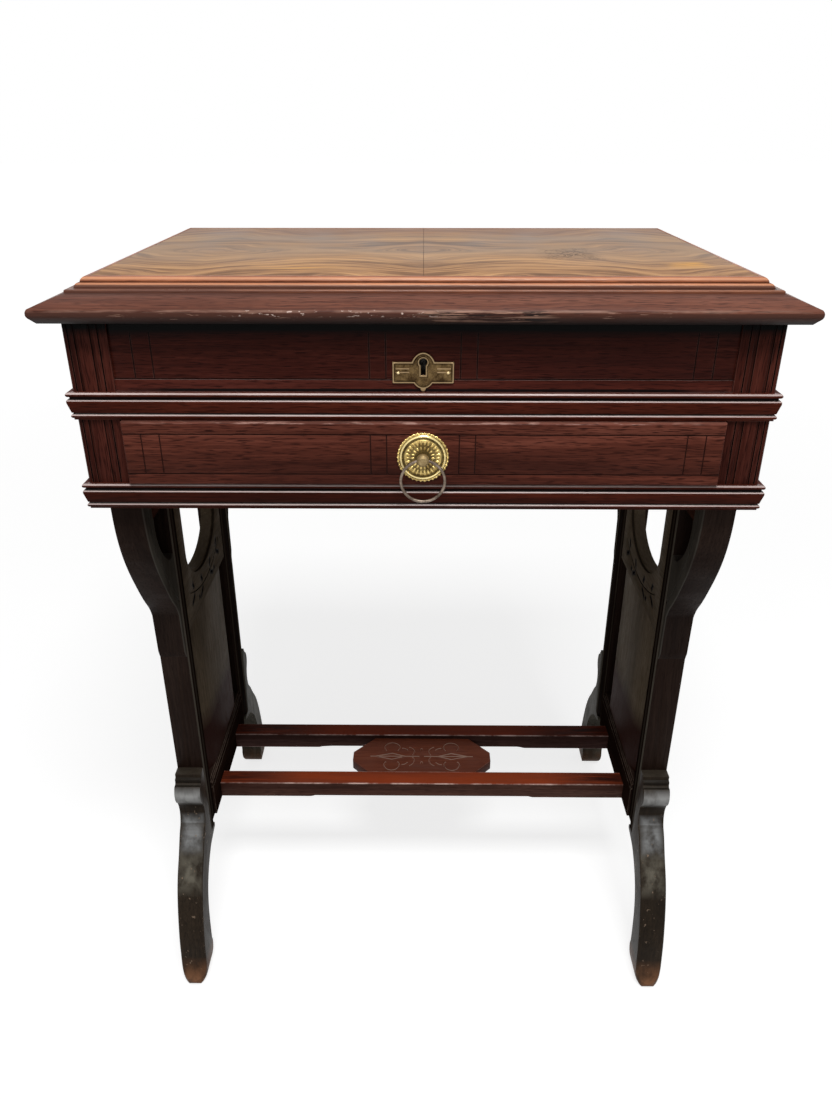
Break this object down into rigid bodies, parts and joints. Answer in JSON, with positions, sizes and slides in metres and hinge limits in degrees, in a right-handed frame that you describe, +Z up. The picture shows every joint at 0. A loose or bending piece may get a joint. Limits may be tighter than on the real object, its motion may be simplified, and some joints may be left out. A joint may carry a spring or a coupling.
{
  "type": "sewing table",
  "caption": "Antique lift-top sewing table: moulded hinged lid over a shallow well, drawer with ring pull below, trestle ends with sabre feet tied by stretchers and a carved plaque.",
  "frame": {"origin": "centre of the bounding box on the floor plane", "axes": "+Z up, +X to the right seen from the front, the drawer front faces -Y"},
  "size_m": [0.5738, 0.3966, 0.74],
  "materials": {
    "lid_veneer": "worn satin varnish on figured veneer",
    "lid_mahogany": "worn satin varnish",
    "case_mahogany": "dark polished varnish",
    "leg_mahogany": "dark satin varnish",
    "panel_wood": "dull aged varnish",
    "stretcher_mahogany": "worn satin varnish",
    "inner_wood": "unvarnished, aged",
    "brass": "aged, with dark recesses",
    "iron": "dull, tarnished"
  },
  "bodies": {
    "table": {"back_board": "case_mahogany", "back_posts": "case_mahogany", "base_moulding_front": "case_mahogany", "base_moulding_sides": "case_mahogany", "bottom_board": "inner_wood", "case_hinge_leaves": "brass", "case_hinge_screws": "iron", "cleat_screws": "iron", "drawer_runners": "inner_wood", "escutcheon": "brass", "escutcheon_pins": "brass", "foot_dowels": "inner_wood", "front_panel": "case_mahogany", "front_posts": "case_mahogany", "front_rail": "case_mahogany", "hinge_pins": "brass", "left_arched_rail": "panel_wood", "left_back_foot": "leg_mahogany", "left_bottom_rail": "leg_mahogany", "left_brackets": "leg_mahogany", "left_cleat": "stretcher_mahogany", "left_front_foot": "leg_mahogany", "left_lower_panel": "panel_wood", "left_side_board": "case_mahogany", "left_stiles": "leg_mahogany", "lock_case": "iron", "mid_moulding_front": "case_mahogany", "mid_moulding_sides": "case_mahogany", "plaque": "stretcher_mahogany", "right_arched_rail": "panel_wood", "right_back_foot": "leg_mahogany", "right_bottom_rail": "leg_mahogany", "right_brackets": "leg_mahogany", "right_cleat": "stretcher_mahogany", "right_front_foot": "leg_mahogany", "right_lower_panel": "panel_wood", "right_side_board": "case_mahogany", "right_stiles": "leg_mahogany", "stretcher_front": "stretcher_mahogany", "stretcher_rear": "stretcher_mahogany", "well_floor": "inner_wood"},
    "lid": {"lid_cornice": "lid_mahogany", "lid_top_moulding": "lid_mahogany", "lid_core": "inner_wood", "left_lid_top": "lid_veneer", "right_lid_top": "lid_veneer", "lid_hinge_leaves": "brass", "lid_hinge_screws": "iron", "lock_staple": "iron"},
    "drawer": {"drawer_front": "case_mahogany", "drawer_sides": "inner_wood", "drawer_back": "inner_wood", "drawer_bottom": "inner_wood", "pull_rosette": "brass", "pull_post": "brass", "pull_nut": "brass"},
    "ring": {"pull_ring": "brass"},
    "bolt": {"lock_bolt": "iron"}
  },
  "joints": [
    {"name": "lid_hinge", "type": "hinge", "parent": "table", "child": "lid", "pos_m": [0, 0.183, 0.711], "axis": [-1, 0, 0], "range_deg": [0, 100]},
    {"name": "drawer_slide", "type": "slide", "parent": "table", "child": "drawer", "axis": [0, -1, 0], "range_m": [0, 0.26]},
    {"name": "ring_swing", "type": "hinge", "parent": "drawer", "child": "ring", "pos_m": [0, -0.1939, 0.6067], "axis": [-1, 0, 0], "range_deg": [-12, 192]},
    {"name": "bolt_slide", "type": "slide", "parent": "table", "child": "bolt", "axis": [1, 0, 0], "range_m": [0, 0.008]}
  ]
}
